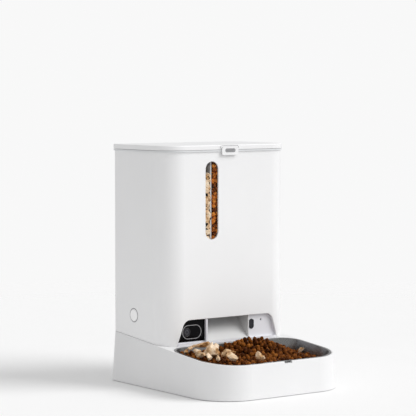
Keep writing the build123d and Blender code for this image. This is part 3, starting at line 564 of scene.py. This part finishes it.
def tank_bed(name, left, right, material):
    """Uneven top of the food in one compartment, under its loose pieces."""
    columns, rows = 30, 30
    wall_room, below_fill = 0.6, 5
    verts = []
    for j in range(rows + 1):
        y = inside_low[1] + wall_room + (inside_high[1] - inside_low[1] - 2 * wall_room) * j / rows
        # the sheet narrows at the front with the tank's round corners
        curve = max(0.0, tank_corner - (y - inside_low[1]))
        inset = tank_corner - math.sqrt(max(tank_corner ** 2 - curve ** 2, 0.0)) + wall_room
        start = max(left, inside_low[0] + inset)
        end = min(right, inside_high[0] - inset)
        for i in range(columns + 1):
            x = start + (end - start) * i / columns
            verts.append((x, y, fill(x, y) - below_fill + 1.5 * noise.noise(Vector((x, y, 3)) * 0.3)))
    return bed(name, verts, columns, material, "housing")


def tank_kibble_top(material):
    """Loose pellets on top of the kibble's bed."""
    rng = random.Random(41)
    shapes = [pellet_form(seed) for seed in range(SHAPES)]
    forms = []
    step, row_step, margin = 7.6, 7.6 * 0.87, 4.8
    for row in range(int((inside_high[1] - inside_low[1]) / row_step)):
        y = inside_low[1] + 4 + row_step * row
        x = divider_high[0] + margin + (row % 2) * step / 2
        while x < inside_high[0] - margin:
            radius = rng.uniform(3.4, 4.4)
            px, py = x + rng.uniform(-1.2, 1.2), y + rng.uniform(-1.2, 1.2)
            x += step
            if tank_gap(px, py) < radius + 0.4 or px < divider_high[0] + radius + 0.3:
                continue
            # the pellets packed behind the window stand in this place already
            if py < pane_high[1] + 28 and px < pane_high[0] + 12:
                continue
            centre = np.array([px, py, fill(px, py) - 1.5 + rng.uniform(-2.2, 2.2)])
            points, faces = shapes[rng.randrange(len(shapes))]
            forms.append((points * radius @ turned(rng).T + centre, faces))
    return gathered("tank_kibble_top", forms, material, "housing")


def tank_chunks_top(material):
    """Freeze-dried pieces on top of their bed."""
    rng = random.Random(47)
    forms = []
    step = 13.5
    for row in range(int((inside_high[1] - inside_low[1]) / step)):
        y = inside_low[1] + 9 + step * row
        x = inside_low[0] + 9
        while x < divider_low[0] - 8:
            size = (rng.uniform(13, 19), rng.uniform(12, 17), rng.uniform(9, 13))
            px, py = x + rng.uniform(-1.5, 1.5), y + rng.uniform(-1.5, 1.5)
            x += step
            reach = 0.5 * math.hypot(size[0], size[1]) - 1.5
            if tank_gap(px, py) < reach or px > divider_low[0] - reach:
                continue
            # the pieces stacked behind the window stand in this place already
            if py < pane_high[1] + 30 and px > pane_low[0] - 22:
                continue
            points, faces = chunk_form(rng, size)
            spin = Matrix.Rotation(rng.uniform(0, 2 * math.pi), 3, "Z")
            centre = np.array([px, py, fill(px, py) + rng.uniform(-2, 2)])
            forms.append((points @ np.array(spin).T + centre, faces))
    return gathered("tank_chunks_top", forms, material, "housing")


# ---- small details --------------------------------------------------------------------

def lathe(name, profile, centre, material, body, turns=48):
    """A round piece about the Y axis. profile holds (radius, depth) in millimetres."""
    verts, faces = [], []
    for step in range(turns):
        angle = 2 * math.pi * step / turns
        for radius, depth in profile:
            verts.append((centre[0] + radius * math.cos(angle), centre[1] + depth,
                          centre[2] + radius * math.sin(angle)))
    count = len(profile)
    for step in range(turns):
        for i in range(count - 1):
            a, b = step * count + i, ((step + 1) % turns) * count + i
            faces.append((a, a + 1, b + 1, b))
    return new_piece(name, np.array(verts) * MM, faces, material, body)


def lens_barrel(made):
    """Stepped black barrel round the lens, behind the panel's pill-shaped ring."""
    low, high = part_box("camera_lens")
    centre = (np.array(low) + np.array(high)) / 2 / MM
    centre[1] = low[1] / MM
    outer = (high[0] - low[0]) / 2 / MM
    profile = [(outer + 1.3, 0.55), (outer + 1.2, 0.05), (outer + 0.9, -0.12), (outer + 0.5, -0.12),
               (outer + 0.3, 0.0), (outer + 0.15, 0.25), (outer + 0.1, 0.55)]
    lathe("lens_bezel", profile, centre, made["chip_black"], "housing")
    lathe("lens_iris", [(3.3, -0.04), (3.2, -0.09), (2.2, -0.09), (2.1, -0.04)], centre,
          made["mech_plastic"], "housing")


def bead_points(low, high, rows, columns):
    for row in range(rows):
        for column in range(columns):
            yield (low[0] + (column + 0.5) * (high[0] - low[0]) / columns,
                   low[1] + (row + 0.5) * (high[1] - low[1]) / rows)


def drying_beads(material):
    """Blue-white beads in the lid's cartridge, seen through its grille."""
    low, high = (np.array(corner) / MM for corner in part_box("desiccant_grille"))
    rng = random.Random(3)
    points, faces = ball(2)
    forms = []
    for x, y in bead_points(low + 2, high - 2, 12, 15):
        centre = np.array([x + rng.uniform(-0.4, 0.4), y + rng.uniform(-0.4, 0.4),
                           high[2] + 2.2 + rng.uniform(0, 0.5)])
        forms.append((points * rng.uniform(1.7, 2.0) + centre, faces))
    return gathered("desiccant_beads", forms, material, "desiccant_body")


# ---- stage ----------------------------------------------------------------------------

def floor_material():
    """Pale floor that fades into the backdrop away from the object."""
    r = Recipe("studio_floor")
    r.colour(r.ramp(r.noise(3.0, 2.0), [(0.3, (0.900, 0.900, 0.900)), (0.7, (0.910, 0.910, 0.910))]))
    r.set(Roughness=0.9, Specular_IOR_Level=0.1)
    length = r.tree.nodes.new("ShaderNodeVectorMath")
    length.operation = "LENGTH"
    r.tree.links.new(r.place, length.inputs[0])
    fade = r.spread(length.outputs["Value"], 1.0, 0.0, 0.45, 1.5)
    r.tree.links.new(fade, r.shader.inputs["Alpha"])
    return r.material


def make_floor():
    form = bmesh.new()
    bmesh.ops.create_circle(form, cap_ends=True, segments=96, radius=1.6)
    mesh = bpy.data.meshes.new("studio_floor")
    form.to_mesh(mesh)
    form.free()
    mesh.materials.append(floor_material())
    floor = bpy.data.objects.new("studio_floor", mesh)
    bpy.context.scene.collection.objects.link(floor)


SKY, GROUND, SIDE, BACKDROP = 0.66, 0.50, 0.05, 0.94     # levels of the surroundings
KEY_FROM, KEY_STRENGTH, KEY_SOFTNESS = (0.56, -0.54, 0.63), 1.91, 38
CAMERA_PLACE, CAMERA_DOWN, CAMERA_TURN, CAMERA_LENS = (-1.6435, -2.1862, 0.4389), 3.726, 36.286, 161.24


def make_world():
    """Studio light, dimmer near the ground and to the right, and a pale backdrop behind."""
    world = bpy.data.worlds.new("studio")
    bpy.context.scene.world = world
    world.use_nodes = True
    tree = world.node_tree
    light = tree.nodes["Background"]
    place = tree.nodes.new("ShaderNodeSeparateXYZ")
    tree.links.new(tree.nodes.new("ShaderNodeTexCoord").outputs["Generated"], place.inputs["Vector"])
    fade = tree.nodes.new("ShaderNodeMapRange")
    tree.links.new(place.outputs["Z"], fade.inputs["Value"])
    fade.inputs["From Min"].default_value = -0.3
    fade.inputs["From Max"].default_value = 0.1
    fade.inputs["To Min"].default_value = GROUND
    fade.inputs["To Max"].default_value = SKY
    level = tree.nodes.new("ShaderNodeMath")
    level.operation = "MULTIPLY_ADD"
    level.inputs[1].default_value = -SIDE
    tree.links.new(place.outputs["X"], level.inputs[0])
    tree.links.new(fade.outputs["Result"], level.inputs[2])
    tree.links.new(level.outputs["Value"], light.inputs["Color"])
    backdrop = tree.nodes.new("ShaderNodeBackground")
    backdrop.inputs["Color"].default_value = (BACKDROP, BACKDROP, BACKDROP, 1)
    seen = tree.nodes.new("ShaderNodeLightPath").outputs["Is Camera Ray"]
    mix = tree.nodes.new("ShaderNodeMixShader")
    tree.links.new(seen, mix.inputs["Fac"])
    tree.links.new(light.outputs["Background"], mix.inputs[1])
    tree.links.new(backdrop.outputs["Background"], mix.inputs[2])
    tree.links.new(mix.outputs["Shader"], tree.nodes["World Output"].inputs["Surface"])


def make_lamp(name, towards, strength, softness):
    """Broad soft light that comes from the direction given."""
    lamp = bpy.data.lights.new(name, "SUN")
    lamp.energy = strength
    lamp.angle = math.radians(softness)
    sun = bpy.data.objects.new(name, lamp)
    bpy.context.scene.collection.objects.link(sun)
    sun.rotation_euler = Vector(towards).to_track_quat("Z", "Y").to_euler()


def make_camera():
    lens = bpy.data.cameras.new("camera")
    lens.sensor_width = 36.0
    lens.lens = CAMERA_LENS
    camera = bpy.data.objects.new("camera", lens)
    bpy.context.scene.collection.objects.link(camera)
    camera.location = CAMERA_PLACE
    camera.rotation_euler = (math.radians(90 - CAMERA_DOWN), 0.0, math.radians(-CAMERA_TURN))
    bpy.context.scene.camera = camera


bpy.context.scene.view_settings.view_transform = "Standard"
make_camera()
make_world()
make_lamp("key", KEY_FROM, KEY_STRENGTH, KEY_SOFTNESS)
make_floor()

made = dress_nodes()
kibble = kibble_food("kibble")
dried = dried_food("freeze_dried")
# the bed's colour is scaled down to near black: painted shade in the gaps between the pellets
bowl_bed(kibble_food("kibble_bed", 0.12))
bowl_kibble(kibble)
bowl_chunks(dried)
# the food packed behind the window is lit only through the pane, so its colours are lifted: painted
# light
tank_kibble(kibble_food("tank_kibble", 3.3))
# the kibble bed's colour is scaled down: painted shade between the loose pellets on it
tank_bed("tank_kibble_bed", divider_high[0] + 0.4, inside_high[0],
         kibble_food("tank_kibble_bed", 0.4))
tank_kibble_top(kibble_food("tank_kibble_top", 1.0))
# the chunks bed's colour is scaled down: painted shade between the loose pieces on it
tank_bed("tank_chunks_bed", inside_low[0], divider_low[0] - 0.4,
         dried_food("tank_chunks_bed", 0.5))
tank_chunks_top(dried_food("tank_chunks_top", 1.0))
# painted light: the stacked pieces' colours are lifted, as they are lit only through the pane
tank_chunks(dried_food("tank_freeze_dried", 1.1))
lens_barrel(made)
drying_beads(made["seal_silicone"])
